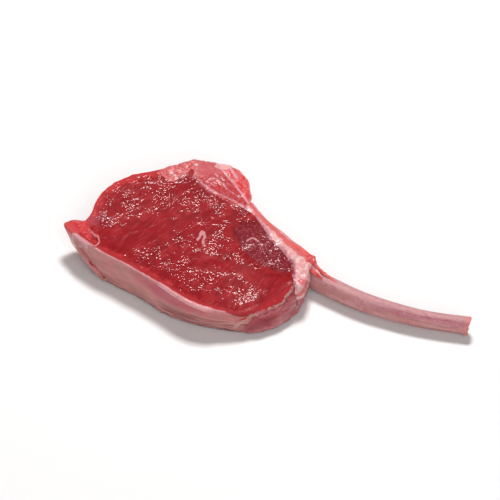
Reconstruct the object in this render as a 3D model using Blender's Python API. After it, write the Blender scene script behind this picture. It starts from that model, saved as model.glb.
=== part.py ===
"""Raw lamb rib chop with a frenched rib bone.

One slice of loin lies flat, cut face up, and the scraped rib curves away from it.
Every tissue that shows at the cut is a solid of its own, from the underside to the
cut face. All solids are carved from one body, the whole slice, along the seams
between the tissues, so neighbours share the same surface and keep a hair of air.

Lengths below are in millimetres, +Z up, the underside at Z = 0.
"""

import math

import bmesh
import bpy
from mathutils import Vector
from mathutils.geometry import interpolate_bezier

MM = 0.001
COLLECTION = "raw_lamb_chop"
GAP = 0.3

# --- driving dimensions -------------------------------------------------------

MEAT_CENTRE = (-30.0, 19.0)
CORE_LENGTH = 24.0
CORE_WIDTH = 13.0
CORE_TILT = math.radians(-14.0)
CORE_REACH = 0.4
CORE_START = math.radians(182.0)
FACE_LENGTH = 50.0
FACE_WIDTH = 36.0
OUTLINE_SPACING = 3.4
FOOT_ROUNDING = 1.8
RIM_ROUNDING = 1.1
BELLY = 0.6
DISH_DEPTH = 1.3
BUNDLE_HEIGHT = 0.45
BUNDLE_PITCH = 17.0

RIB_HALF_WIDTH = 3.7
RIB_HALF_HEIGHT = 5.2
RIB_TAPER = 0.77
RIB_TAPER_FROM = 0.46
RIB_FLARE = 0.06
RIB_FLARE_FROM = 0.9
RIB_SQUARENESS = 0.85
RIB_GROOVE = 0.10
GROOVE_LEVEL = 0.35
GROOVE_SPREAD = 0.3
SAW_SLANT = 2.0
RIB_STATIONS = 40
RIB_SIDES = 20
RIB_AXIS_HEIGHT = 6.5
RIB_TIP_DROP = 1.1
RIB_SAMPLES = 120
MEAT_OVER_RIB = 3.8
STRIP_INSIDE_FIRST = 2.8
STRIP_INSIDE_LAST = -0.2
STRIP_CLOSES = (0.34, 0.50)
SEAM_FAT_OUTSIDE = 5.0
KNUCKLE_OUTSIDE = 2.2

FAT_COVER_DEPTH = 1.9
CAP_SETBACK = 0.6
CAP_FROM_FOOT = -14.5
CAP_FROM_FACE = 3.5
CAP_STEPS = 14
CAP_LEFT_END = -8.0
CAP_FADE = 6.0
COVER_STEPS = 56
KNUCKLE_FOOT_SHIFT = 2.4
KNUCKLE_SHIFT_RUN = 6.0
PAST_OUTLINE = 12.0
SHEATH_HEIGHT = 40.0
AREA_FROM = -1.0
AREA_TO = 19.0

# The rib's centre line, seen from above, from the sawn head to the sawn tip.
RIB_ROUTE = [
    (-18.4, 57.2), (-13.0, 43.6), (-3.2, 28.2), (9.0, 14.2), (21.2, 3.9),
    (34.0, -4.3), (46.8, -10.4), (63.0, -15.6), (81.2, -19.0),
]

# The slice's outline in landmarks: X and Y of the rim, height of the rim, and how
# far the foot of the side wall stands from it in X and Y.
TIP = [
    (-75.5, 29.2, 16.2, 5.0, -3.5),
    (-80.9, 27.3, 16.0, 9.8, -3.5),
    (-76.8, 20.2, 17.0, 5.6, -1.5),
]
FRONT = [
    (-69.8, 12.9, 17.5, 0.6, 0.0),
    (-59.0, 5.4, 17.6, 0.0, 0.0),
    (-50.8, -0.6, 17.6, 0.0, 0.6),
    (-42.8, -7.0, 17.6, 0.0, 0.0),
    (-35.0, -13.3, 17.2, 0.0, 1.6),
    (-27.5, -17.6, 16.0, 0.0, 3.0),
    (-18.5, -18.9, 14.0, 0.0, 2.1),
    (-10.5, -18.4, 12.4, 0.0, 0.0),
    (-2.5, -15.2, 12.4, 0.6, -2.6),
    (4.2, -11.4, 14.6, 1.4, -3.2),
    (10.4, -6.9, 16.4, 1.0, -2.6),
]
KNUCKLE = [
    (14.6, -6.6, 15.8, -0.3, 5.5),
    (18.0, -2.2, 15.6, -1.4, 4.4),
    (18.9, 3.0, 15.8, -1.2, 2.4),
    (19.9, 6.8, 15.2, -0.6, 0.2),
    (18.4, 10.2, 15.4, -0.8, -0.8),
]
RIB_SIDE_FROM = 0.19
RIB_SIDE_TO = 0.43
RIB_SIDE_STEPS = 6
RIB_SIDE_HEIGHT = 15.6
RIB_SIDE_FOOT = (-0.2, -0.2)
BACK = [
    (-7.0, 41.2, 16.0, -0.6, -0.4),
    (-6.4, 45.8, 15.8, -1.2, -0.4),
    (-9.2, 52.8, 16.0, -1.4, -1.2),
    (-14.6, 58.2, 16.2, -0.8, -1.8),
    (-21.5, 58.9, 16.6, 0.0, -1.6),
    (-30.0, 60.2, 17.0, 0.0, -2.2),
    (-37.0, 57.8, 17.0, 0.4, -1.4),
    (-45.5, 54.6, 17.0, 0.4, -1.6),
    (-54.0, 52.4, 17.0, 0.6, -2.0),
    (-60.4, 48.6, 17.0, 1.2, -1.8),
    (-66.0, 43.0, 17.0, 1.8, -1.0),
    (-69.0, 36.4, 17.0, 1.8, 0.0),
    (-70.6, 30.6, 16.8, 1.6, -0.4),
    (-72.0, 27.8, 16.6, 2.0, -1.4),
]

# Seams seen from above. Each runs past the outline at both ends.
TOP_FAT_EDGE = [(-43.5, 60.0), (-41.8, 53.0), (-38.0, 49.6), (-33.0, 53.4), (-29.6, 50.8), (-28.2, 55.0)]
BACK_MUSCLE_EYE_SIDE = [
    (-28.6, 66.0), (-28.6, 55.0), (-26.8, 48.4), (-21.6, 43.0), (-14.6, 38.4), (-8.6, 35.4),
]
BACK_MUSCLE_BONE_SIDE = [(-19.6, 66.0), (-19.4, 57.0), (-15.6, 50.8), (-11.4, 43.4), (-8.0, 37.6)]
SEAM_FAT_EYE_SIDE = [
    (-11.4, 36.6), (-7.6, 34.9), (-4.2, 31.2), (-1.9, 26.6), (0.5, 22.2),
    (1.6, 18.8), (4.0, 16.2), (6.4, 13.2), (8.6, 9.2), (11.0, 4.4),
]
KNUCKLE_EYE_SIDE = [(10.7, 6.4), (10.5, -1.6), (11.3, -9.0), (13.0, -16.0)]
KNUCKLE_CORNER = (32.0, -16.0)
FLAP_EYE_SIDE = [(-72.8, 38.0), (-72.0, 28.0), (-70.2, 21.0), (-70.4, 13.0), (-68.0, 2.0)]


# --- small geometry helpers ---------------------------------------------------


def smooth_path(points, spacing=2.2):
    """Return points every few millimetres on a smooth curve through the given ones."""
    route = [Vector((x, y, 0.0)) for x, y in points]
    before = [route[0]] + route[:-1]
    after = route[1:] + [route[-1]]
    pulls = [(b - a) / 6.0 for a, b in zip(before, after)]
    dense = []
    for i in range(len(route) - 1):
        steps = max(2, round((route[i + 1] - route[i]).length / spacing))
        knots = (route[i], route[i] + pulls[i], route[i + 1] - pulls[i + 1], route[i + 1])
        dense.extend(interpolate_bezier(*knots, steps + 1)[:-1])
    dense.append(route[-1])
    return [(p.x, p.y) for p in dense]


def resample(points, count):
    """Return count points spread evenly along a line."""
    lengths = [0.0]
    for (ax, ay), (bx, by) in zip(points, points[1:]):
        lengths.append(lengths[-1] + math.hypot(bx - ax, by - ay))
    spread = []
    k = 0
    for i in range(count):
        target = lengths[-1] * i / (count - 1)
        while k < len(points) - 2 and lengths[k + 1] < target:
            k += 1
        share = (target - lengths[k]) / (lengths[k + 1] - lengths[k])
        (ax, ay), (bx, by) = points[k], points[k + 1]
        spread.append((ax + (bx - ax) * share, ay + (by - ay) * share))
    return spread


def normals(points):
    """Return the left-hand unit normal at each point of an open line."""
    sides = []
    for i in range(len(points)):
        ax, ay = points[max(i - 1, 0)]
        bx, by = points[min(i + 1, len(points) - 1)]
        length = math.hypot(bx - ax, by - ay)
        sides.append(((ay - by) / length, (bx - ax) / length))
    return sides


def beside(points, distance):
    """Return a line that runs beside another, to its left for a positive distance."""
    return [
        (x + nx * distance, y + ny * distance)
        for (x, y), (nx, ny) in zip(points, normals(points))
    ]


def grown(outline, distance):
    """Return a closed outline moved outward by a distance."""
    area = sum(ax * by - bx * ay for (ax, ay), (bx, by) in zip(outline, outline[1:] + outline[:1]))
    outward = -math.copysign(1.0, area)
    moved = []
    for i, (x, y) in enumerate(outline):
        px, py = outline[i - 1]
        qx, qy = outline[(i + 1) % len(outline)]
        before = Vector((x - px, y - py)).normalized()
        after = Vector((qx - x, qy - y)).normalized()
        miter = Vector((-before.y - after.y, before.x + after.x)).normalized()
        stretch = max(0.5, miter.dot(Vector((-before.y, before.x))))
        step = outward * distance / stretch
        moved.append((x + miter.x * step, y + miter.y * step))
    return moved


def loft(name, rings):
    """Skin a row of closed rings, each with as many points, and cap both ends."""
    bm = bmesh.new()
    rows = [[bm.verts.new(Vector(p) * MM) for p in ring] for ring in rings]
    for low, high in zip(rows, rows[1:]):
        for i in range(len(low)):
            j = (i + 1) % len(low)
            bm.faces.new((low[i], low[j], high[j], high[i]))
    bm.faces.new(rows[0])
    bm.faces.new(rows[-1])
    bmesh.ops.recalc_face_normals(bm, faces=bm.faces)
    mesh = bpy.data.meshes.new(name)
    bm.to_mesh(mesh)
    bm.free()
    return mesh


# --- the rib ------------------------------------------------------------------


def along_rib(offset, start, end):
    """Return a line beside the rib's centre line, between two shares of its length."""
    line = beside(resample(smooth_path(RIB_ROUTE, 1.0), RIB_SAMPLES + 1), offset)
    return line[round(start * RIB_SAMPLES): round(end * RIB_SAMPLES)]


def rib_axis(count):
    """Return points of the rib's centre line with the height of each."""
    plan = resample(smooth_path(RIB_ROUTE, 1.0), count)
    line = []
    for i, (x, y) in enumerate(plan):
        share = i / (count - 1)
        line.append((x, y, RIB_AXIS_HEIGHT - RIB_TIP_DROP * share ** 2))
    return line


def rib_scale(share):
    """Return how thick the rib is at a share of its length, 1 at the head."""
    bare = max(0.0, share - RIB_TAPER_FROM) / (1.0 - RIB_TAPER_FROM)
    flare = RIB_FLARE * max(0.0, (share - RIB_FLARE_FROM) / (1.0 - RIB_FLARE_FROM)) ** 2
    return 1.0 - (1.0 - RIB_TAPER) * math.sin(bare * math.pi / 2.0) + flare


def rib_rings(grow, legs):
    """Return the rib's sections. With legs, the lower half runs straight down."""
    axis = rib_axis(RIB_STATIONS)
    sides = normals([(x, y) for x, y, z in axis])
    rings = []
    for i, ((x, y, z), (nx, ny)) in enumerate(zip(axis, sides)):
        share = i / (RIB_STATIONS - 1)
        width = RIB_HALF_WIDTH * rib_scale(share) + grow
        height = RIB_HALF_HEIGHT * rib_scale(share) + grow
        groove = RIB_GROOVE * math.sin(math.pi * share) if not legs else 0.0
        ring = []
        for k in range(RIB_SIDES):
            turn = 2.0 * math.pi * k / RIB_SIDES
            across = width * math.copysign(abs(math.cos(turn)) ** RIB_SQUARENESS, math.cos(turn))
            across *= 1.0 - groove * math.exp(-((math.sin(turn) - GROOVE_LEVEL) / GROOVE_SPREAD) ** 2)
            up = height * math.sin(turn)
            if legs and up < -0.01:
                across = math.copysign(width, across)
                up = -SHEATH_HEIGHT * abs(math.sin(turn))
            back = SAW_SLANT * (1.0 - math.sin(turn)) / 2.0 if share == 1.0 else 0.0
            ring.append((x + nx * across - ny * back, y + ny * across + nx * back, z + up))
        rings.append(ring)
    return rings


# --- the whole slice ----------------------------------------------------------


def rib_side_landmarks():
    """Return outline landmarks that follow the rib's outer side up to the back."""
    outer = resample(along_rib(MEAT_OVER_RIB, RIB_SIDE_FROM, RIB_SIDE_TO), RIB_SIDE_STEPS)
    return [(x, y, RIB_SIDE_HEIGHT, *RIB_SIDE_FOOT) for x, y in reversed(outer)]


def slice_outline():
    """Return the outline once round the slice, anticlockwise, as dense stations."""
    marks = [Vector(mark) for mark in TIP + FRONT + KNUCKLE + rib_side_landmarks() + BACK]
    count = len(marks)
    stations = []
    for i in range(count):
        start, end = marks[i], marks[(i + 1) % count]
        pull = (end - marks[i - 1]) / 6.0
        push = (marks[(i + 2) % count] - start) / 6.0
        steps = max(1, round((end - start).to_2d().length / OUTLINE_SPACING))
        for k in range(steps):
            t = k / steps
            point = start * (1 - t) ** 3 + (start + pull) * 3 * t * (1 - t) ** 2
            point += (end - push) * 3 * t ** 2 * (1 - t) + end * t ** 3
            stations.append(point)
    return stations


def face_height(x, y, rim):
    """Return the cut face's height: dished, with low ridges of muscle bundles."""
    ax, ay = x - MEAT_CENTRE[0], y - MEAT_CENTRE[1]
    depth = max(0.0, 1.0 - (ax / FACE_LENGTH) ** 2 - (ay / FACE_WIDTH) ** 2)
    bundles = math.sin(2.0 * math.pi * (0.83 * ax - 0.55 * ay) / BUNDLE_PITCH)
    return rim - DISH_DEPTH * depth + BUNDLE_HEIGHT * bundles * min(1.0, 3.0 * depth)


def slice_rings():
    """Return the slice as rings: the underside, the side wall and the cut face."""
    stations = slice_outline()
    cx, cy = MEAT_CENTRE
    mean_rim = sum(mark[2] for mark in stations) / len(stations)

    def wall(share, out, height):
        lean = 1.0 - share
        plan = [(mark[0] + mark[3] * lean, mark[1] + mark[4] * lean) for mark in stations]
        inward = normals([plan[-1]] + plan + [plan[0]])[1:-1]
        moved = [(x - nx * out, y - ny * out) for (x, y), (nx, ny) in zip(plan, inward)]
        return [(x, y, height(mark)) for (x, y), mark in zip(moved, stations)]

    def inwards(x, y, k, reach):
        turn = CORE_START + 2.0 * math.pi * k / len(stations)
        core = min(1.0, reach / CORE_REACH)
        ex, ey = CORE_LENGTH * core * math.cos(turn), CORE_WIDTH * core * math.sin(turn)
        ox = cx + ex * math.cos(CORE_TILT) - ey * math.sin(CORE_TILT)
        oy = cy + ex * math.sin(CORE_TILT) + ey * math.cos(CORE_TILT)
        share = max(0.0, reach - CORE_REACH) / (1.0 - CORE_REACH)
        return ox + (x - ox) * share, oy + (y - oy) * share

    def underside(reach):
        feet = wall(0.0, -FOOT_ROUNDING, lambda mark: 0.0)
        return [(*inwards(x, y, k, reach), z) for k, (x, y, z) in enumerate(feet)]

    def foot(turn):
        up = FOOT_ROUNDING * (1.0 - math.cos(turn))
        return wall(0.0, FOOT_ROUNDING * (math.sin(turn) - 1.0), lambda mark: up)

    def side(share):
        return wall(share, BELLY * math.sin(math.pi * share), lambda mark: mark[2] * share)

    def shoulder(turn):
        down = RIM_ROUNDING * (1.0 - math.sin(turn))
        return wall(1.0, RIM_ROUNDING * (math.cos(turn) - 1.0), lambda mark: mark[2] - down)

    def face(reach):
        ring = []
        for k, (x, y, z) in enumerate(wall(1.0, -RIM_ROUNDING, lambda mark: mark[2])):
            px, py = inwards(x, y, k, reach)
            level = mean_rim + (z - mean_rim) * reach
            ring.append((px, py, face_height(px, py, level)))
        return ring

    rings = [underside(reach) for reach in (0.1, 0.6, 1.0)]
    rings += [foot(math.radians(turn)) for turn in (30, 60, 90)]
    rings += [side(share) for share in (0.35, 0.55, 0.75)]
    rings += [shoulder(math.radians(turn)) for turn in (0, 45)]
    rings += [face(reach) for reach in (1.0, 0.9, 0.76, 0.6, 0.42, 0.25, 0.1)]
    return rings


# --- regions of the slice, one for each tissue ----------------------------------


def front_line(depth, lean, marks):
    """Return the front rim moved inward. With lean, it follows the foot left of the cap."""
    plan = []
    for x, y, rim, dx, dy in marks:
        follow = lean * max(0.0, min(1.0, (CAP_LEFT_END - x) / CAP_FADE))
        plan.append((x + dx * follow, y + dy * follow))
    return beside(smooth_path(plan), depth)


def cover_outline(lean):
    """Return the fat cover's area, a band along the front wall from tip to knuckle."""
    edge = resample(front_line(FAT_COVER_DEPTH, lean, TIP[1:] + FRONT), COVER_STEPS)
    return edge + beside(edge, -PAST_OUTLINE)[::-1]


def cap_outline(start):
    """Return the cap muscle's area outside the front rim, from a place along X."""
    line = front_line(CAP_SETBACK, 0.0, FRONT + KNUCKLE[:1])
    edge = resample([p for p in line if p[0] > start], CAP_STEPS)
    return edge + beside(edge, -PAST_OUTLINE)[::-1]


def knuckle_area(shift):
    """Return the knuckle's area, between its seam with the eye and the rib."""
    line = smooth_path(KNUCKLE_EYE_SIDE)
    top = line[0][1]
    seam = [(x + shift * min(1.0, (top - y) / KNUCKLE_SHIFT_RUN), y) for x, y in line]
    return seam + [KNUCKLE_CORNER] + along_rib(KNUCKLE_OUTSIDE, 0.44, 0.6)[::-1]


def strip_edge(start, end):
    """Return the meat strip's inner edge, which closes in on the rib towards its far end."""
    first = along_rib(STRIP_INSIDE_FIRST, start, end)
    last = along_rib(STRIP_INSIDE_LAST, start, end)
    edge = []
    for i, ((ax, ay), (bx, by)) in enumerate(zip(first, last)):
        share = start + (end - start) * i / (len(first) - 1)
        closed = (share - STRIP_CLOSES[0]) / (STRIP_CLOSES[1] - STRIP_CLOSES[0])
        closed = max(0.0, min(1.0, closed))
        edge.append((ax + (bx - ax) * closed, ay + (by - ay) * closed))
    return edge


def areas_in_order():
    """Return each tissue's area at the foot and at the face, in order of carving."""
    strip_inside = strip_edge(0.17, 0.55)
    strip_outside = along_rib(PAST_OUTLINE, 0.17, 0.55)
    seam_outside = along_rib(SEAM_FAT_OUTSIDE, 0.18, 0.45)
    areas = {
        "top_fat": smooth_path(TOP_FAT_EDGE) + [(-28.4, 72.0), (-46.0, 72.0)],
        "back_muscle": smooth_path(BACK_MUSCLE_EYE_SIDE) + smooth_path(BACK_MUSCLE_BONE_SIDE)[::-1],
        "chine_trim": smooth_path(BACK_MUSCLE_BONE_SIDE) + [(4.0, 40.0), (10.0, 60.0), (-8.0, 72.0)],
        "rib_meat": strip_inside + strip_outside[::-1],
        "fat_knuckle": (knuckle_area(KNUCKLE_FOOT_SHIFT), knuckle_area(0.0)),
        "seam_fat": smooth_path(SEAM_FAT_EYE_SIDE) + seam_outside[::-1],
        "cap_muscle": (cap_outline(CAP_FROM_FOOT), cap_outline(CAP_FROM_FACE)),
        "fat_cover": (cover_outline(1.0), cover_outline(0.0)),
        "tip_flap": smooth_path(FLAP_EYE_SIDE) + [(-95.0, 0.0), (-95.0, 45.0)],
    }
    return {name: area if isinstance(area, tuple) else (area, area) for name, area in areas.items()}


# --- objects --------------------------------------------------------------------


def collection(name):
    group = bpy.data.collections.new(name)
    bpy.context.scene.collection.children.link(group)
    return group


def material(name, color, roughness):
    finish = bpy.data.materials.new(name)
    finish.use_nodes = True
    shader = finish.node_tree.nodes["Principled BSDF"]
    shader.inputs["Base Color"].default_value = (*color, 1.0)
    shader.inputs["Roughness"].default_value = roughness
    shader.inputs["Metallic"].default_value = 0.0
    finish.diffuse_color = (*color, 1.0)
    return finish


def cutter(name, mesh, group, parent):
    tool = bpy.data.objects.new(name, mesh)
    tool.hide_render = True
    tool.display_type = "WIRE"
    tool.parent = parent
    group.objects.link(tool)
    return tool


def area_cutter(name, area, group, parent):
    """Return a cutter that rises from an area's outline at the foot to that at the face."""
    foot = [(x, y, AREA_FROM) for x, y in area[0]]
    face = [(x, y, AREA_TO) for x, y in area[1]]
    return cutter(name, loft(name, [foot, face]), group, parent)


def add_boolean(target, tool, operation):
    step = target.modifiers.new(f"{operation.lower()}_{tool.name}", "BOOLEAN")
    step.operation = operation
    step.solver = "EXACT"
    step.object = tool


def slice_piece(name, whole, finish, group, parent):
    """Return a copy of the whole slice, ready to be carved down to one tissue."""
    piece = bpy.data.objects.new(name, whole.copy())
    piece.data.materials.append(finish)
    piece.parent = parent
    group.objects.link(piece)
    return piece


def build_rib(finish, group, parent):
    rib = bpy.data.objects.new("rib_bone", loft("rib_bone", rib_rings(0.0, legs=False)))
    rib.data.materials.append(finish)
    rib.data.shade_smooth()
    rib.data.set_sharp_from_angle(angle=math.radians(40.0))
    rib.parent = parent
    group.objects.link(rib)
    return rib


def bounds(objects):
    """Return the lowest and highest corner of the finished solids."""
    graph = bpy.context.evaluated_depsgraph_get()
    corners = []
    for item in objects:
        solid = item.evaluated_get(graph)
        corners.extend(item.matrix_world @ v.co for v in solid.data.vertices)
    low = Vector(min(c[i] for c in corners) for i in range(3))
    high = Vector(max(c[i] for c in corners) for i in range(3))
    return low, high


def main():
    for item in list(bpy.data.objects):
        bpy.data.objects.remove(item, do_unlink=True)
    parts = collection(COLLECTION)
    tools = collection("cutters")
    anchor = bpy.data.objects.new("chop_origin", None)
    tools.objects.link(anchor)

    lean = material("lean_meat", (0.36, 0.03, 0.035), 0.3)
    red = material("rib_side_meat", (0.55, 0.10, 0.10), 0.35)
    purple = material("cap_meat", (0.30, 0.06, 0.08), 0.35)
    fat = material("white_fat", (0.80, 0.52, 0.50), 0.4)
    silverskin = material("silverskin", (0.50, 0.22, 0.20), 0.35)
    bone = material("scraped_bone", (0.58, 0.30, 0.30), 0.45)
    finishes = {
        "top_fat": fat,
        "back_muscle": red,
        "chine_trim": red,
        "rib_meat": red,
        "fat_knuckle": fat,
        "seam_fat": fat,
        "cap_muscle": purple,
        "fat_cover": silverskin,
        "tip_flap": red,
    }

    whole = loft("whole_slice", slice_rings())
    sheath = cutter("rib_sheath", loft("rib_sheath", rib_rings(GAP, legs=True)), tools, anchor)
    beside_rib = ("back_muscle", "chine_trim", "rib_meat", "fat_knuckle", "seam_fat")

    carved = []
    pieces = []
    for name, area in areas_in_order().items():
        keep = area_cutter(f"area_{name}", area, tools, anchor)
        piece = slice_piece(name, whole, finishes[name], parts, anchor)
        add_boolean(piece, keep, "INTERSECT")
        for taken in carved:
            add_boolean(piece, taken, "DIFFERENCE")
        if name in beside_rib:
            add_boolean(piece, sheath, "DIFFERENCE")
        cleared = tuple(grown(outline, GAP) for outline in area)
        carved.append(area_cutter(f"clear_{name}", cleared, tools, anchor))
        pieces.append(piece)

    eye = slice_piece("loin_eye", whole, lean, parts, anchor)
    for taken in carved:
        add_boolean(eye, taken, "DIFFERENCE")
    add_boolean(eye, sheath, "DIFFERENCE")
    pieces.append(eye)
    pieces.append(build_rib(bone, parts, anchor))

    low, high = bounds(pieces)
    anchor.location = (-(low.x + high.x) / 2.0, -(low.y + high.y) / 2.0, -low.z)


main()
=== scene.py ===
# %% [markdown]
# # A raw lamb chop
# A rib chop is one slice across the loin of a lamb. What shows at the cut is the eye of
# lean meat, a skin of fat and silverskin round it, a few small muscles and seams of fat,
# and the rib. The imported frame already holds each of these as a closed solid. It stays as
# it is, and every solid gets a finer, wetter double that stands in for it.

# %% Load the frame and keep its box
import math
from collections import namedtuple

import bmesh
import bpy
import numpy as np
from mathutils import Matrix, Vector, kdtree, noise
from mathutils.bvhtree import BVHTree
from mathutils.geometry import interpolate_bezier


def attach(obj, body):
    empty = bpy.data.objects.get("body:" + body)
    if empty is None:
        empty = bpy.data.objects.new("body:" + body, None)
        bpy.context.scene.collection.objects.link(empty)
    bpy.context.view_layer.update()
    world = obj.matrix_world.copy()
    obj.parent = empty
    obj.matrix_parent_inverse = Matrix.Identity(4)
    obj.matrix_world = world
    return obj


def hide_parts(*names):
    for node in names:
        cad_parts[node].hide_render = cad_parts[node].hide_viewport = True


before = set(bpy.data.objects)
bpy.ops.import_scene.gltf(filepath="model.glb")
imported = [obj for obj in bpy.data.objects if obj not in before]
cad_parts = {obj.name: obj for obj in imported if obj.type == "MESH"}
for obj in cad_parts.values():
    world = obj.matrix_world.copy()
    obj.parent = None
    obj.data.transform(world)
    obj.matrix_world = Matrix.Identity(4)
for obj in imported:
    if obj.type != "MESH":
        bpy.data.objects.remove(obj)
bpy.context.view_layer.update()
scene = bpy.context.scene
MM = 0.001
BODY = "root"
MEAT_NODES = [
    "loin_eye", "fat_cover", "cap_muscle", "tip_flap", "top_fat",
    "back_muscle", "chine_trim", "rib_meat", "seam_fat", "fat_knuckle",
]

# %% [markdown]
# ## The camera
# The chop is looked at from 48 degrees above, square on to its long side. A long lens far
# away keeps the near and far edges in proportion. The aim is a point at half the slice's
# height, a little left of the middle.

# %% Place the camera
VIEW_ELEVATION = math.radians(48.0)
FIELD_WIDTH = 0.200
LENS = 600.0
SENSOR = 36.0
AIM = Vector((-0.0069, 0.0003, 0.0079))
camera = bpy.data.objects.new("camera", bpy.data.cameras.new("camera"))
camera.data.lens = LENS
camera.data.sensor_width = SENSOR
camera_distance = FIELD_WIDTH * LENS / SENSOR
toward_camera = Vector((0.0, -math.cos(VIEW_ELEVATION), math.sin(VIEW_ELEVATION)))
camera.location = AIM + toward_camera * camera_distance
camera.rotation_euler = (-toward_camera).to_track_quat("-Z", "Y").to_euler()
camera.data.clip_end = 10.0
scene.collection.objects.link(camera)
scene.camera = camera
print("camera", round(camera_distance, 2), "m away")

# %% [markdown]
# ## One skin over all the tissues
# In real meat the tissues are grown together, so light runs over them without a step. Ten
# separate solids, each rounded on its own, would show a ditch at every seam, and a sculpt
# by hand would not come out the same twice. So the ten are first swollen a little, melted
# into one voxel skin and smoothed. All relief goes on that skin, and each tissue's double
# is then laid onto it.
# Everything here is in millimetres, which keeps the numbers readable.

# %% Read, move and smooth a mesh's points
def vertex_array(mesh, what="co"):
    """Return an attribute of the vertices as rows of three numbers."""
    flat = np.empty(len(mesh.vertices) * 3, np.float32)
    mesh.vertices.foreach_get(what, flat)
    return flat.reshape(-1, 3).astype(float)


def edge_array(mesh):
    """Return the two ends of every edge."""
    flat = np.empty(len(mesh.edges) * 2, np.int32)
    mesh.edges.foreach_get("vertices", flat)
    return flat.reshape(-1, 2)


def move_points(mesh, points):
    """Move a mesh's vertices and return their new normals."""
    mesh.vertices.foreach_set("co", points.astype(np.float32).ravel())
    mesh.update()
    return vertex_array(mesh, "normal")


def relaxed(values, edges, rounds, held=0.0):
    """Return values drawn towards the mean of their neighbours, but not where held is 1."""
    count = len(values)
    values = values.reshape(count, -1).copy()
    degree = np.bincount(edges.ravel(), minlength=count).clip(1)
    pull = 0.5 * (1.0 - held)
    for _ in range(rounds):
        for column in values.T:
            total = np.bincount(edges[:, 0], column[edges[:, 1]], count)
            total += np.bincount(edges[:, 1], column[edges[:, 0]], count)
            column += pull * (total / degree - column)
    return values


# %% Swell, join and remesh solids
SHARPEST_SWELL = 2.0


def mesh_from(bm, name):
    """Return a mesh made from a bmesh, which is freed."""
    mesh = bpy.data.meshes.new(name)
    bm.to_mesh(mesh)
    bm.free()
    return mesh


def grown_solid(node, grow_mm):
    """Return a mesh of a CAD node in millimetres, swollen evenly but for the sharpest edges."""
    bm = bmesh.new()
    bm.from_mesh(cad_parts[node].data)
    bmesh.ops.remove_doubles(bm, verts=bm.verts, dist=1e-7)
    bmesh.ops.scale(bm, verts=bm.verts, vec=(1 / MM,) * 3)
    bm.normal_update()
    moves = [v.normal * min(v.calc_shell_factor(), SHARPEST_SWELL) * grow_mm for v in bm.verts]
    for vertex, move in zip(bm.verts, moves):
        vertex.co += move
    return mesh_from(bm, node)


def voxel_mesh(mesh, voxel_mm):
    """Return a mesh of even quads over a closed mesh, or over several that overlap."""
    source = bpy.data.objects.new("voxel_source", mesh)
    scene.collection.objects.link(source)
    remesh = source.modifiers.new("voxels", "REMESH")
    remesh.mode = "VOXEL"
    remesh.voxel_size = voxel_mm
    graph = bpy.context.evaluated_depsgraph_get()
    fine = bpy.data.meshes.new_from_object(source.evaluated_get(graph))
    bpy.data.objects.remove(source)
    bpy.data.meshes.remove(mesh)
    return fine


def joined(meshes):
    """Return one mesh that holds several."""
    bm = bmesh.new()
    for mesh in meshes:
        bm.from_mesh(mesh)
        bpy.data.meshes.remove(mesh)
    return mesh_from(bm, "joined")


# %% [markdown]
# The first rounds of smoothing take the voxels' steps out everywhere. The cut face is then
# smoothed much longer, as it was one stroke of the knife, and less and less towards its
# rim, which would otherwise sink.

# %% Melt the tissues into one skin and smooth it
SEAM_CLOSING = 0.22
SKIN_VOXEL = 0.42
STEP_ROUNDS = 14
RIM_ROUNDS = 60
FACE_ROUNDS = 260
FACE_TILT = 0.80
FACE_FLOOR = 9.0
skin = voxel_mesh(joined([grown_solid(n, SEAM_CLOSING) for n in MEAT_NODES]), SKIN_VOXEL)
skin_edges = edge_array(skin)
skin_points = relaxed(vertex_array(skin), skin_edges, STEP_ROUNDS)
skin_normals = move_points(skin, skin_points)
on_face = (skin_normals[:, 2] > FACE_TILT) & (skin_points[:, 2] > FACE_FLOOR)
rim_soft = relaxed((~on_face).astype(float), skin_edges, RIM_ROUNDS)[:, 0]
held_skin = np.where(on_face, rim_soft, 1.0) ** 0.5
skin_points = relaxed(skin_points, skin_edges, FACE_ROUNDS, held_skin)
skin_normals = move_points(skin, skin_points)
print("skin:", len(skin_points), "points,", int(on_face.sum()), "on the cut face")

# %% [markdown]
# ## Marks to work from
# Relief and colour both follow the same few lines: seams, creases, threads of fat. Each is
# a short list of points seen from above (or, on the front wall, seen from the front as
# distance along the chop and height), made smooth by a curve. One function tells how far
# any point is from a line, another gives soft random lumps of a chosen size. Painting the
# masks by hand would tie them to one mesh, while lines work on any.

# %% Smooth lines and distances to them
def smooth_line(marks, spacing=0.8):
    """Return close points on a smooth curve through a few marks."""
    marks = [Vector(m).to_3d() for m in marks]
    before = [marks[0]] + marks[:-1]
    after = marks[1:] + [marks[-1]]
    pulls = [(b - a) / 6.0 for a, b in zip(before, after)]
    line = []
    for i in range(len(marks) - 1):
        steps = max(2, round((marks[i + 1] - marks[i]).length / spacing))
        knots = (marks[i], marks[i] + pulls[i], marks[i + 1] - pulls[i + 1], marks[i + 1])
        line.extend(interpolate_bezier(*knots, steps + 1)[:-1])
    return np.array([tuple(p) for p in line + [marks[-1]]])


def beside_line(flat, marks):
    """Return how far each point is to the left of a line, and its place along it, 0 to 1."""
    line = smooth_line(marks)[:, :2]
    start, step = line[:-1], np.diff(line, axis=0)
    length = np.hypot(*step.T)
    nearest = np.full(len(flat), np.inf)
    offset = np.zeros(len(flat))
    place = np.zeros(len(flat))
    travelled = 0.0
    for (ax, ay), (dx, dy), span in zip(start, step, length):
        rx, ry = flat[:, 0] - ax, flat[:, 1] - ay
        t = np.clip((rx * dx + ry * dy) / span**2, 0.0, 1.0)
        gap = np.hypot(rx - t * dx, ry - t * dy)
        closer = gap < nearest
        nearest = np.where(closer, gap, nearest)
        offset = np.where(closer, np.copysign(gap, dx * ry - dy * rx), offset)
        place = np.where(closer, travelled + t * span, place)
        travelled += span
    return offset, place / travelled


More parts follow.
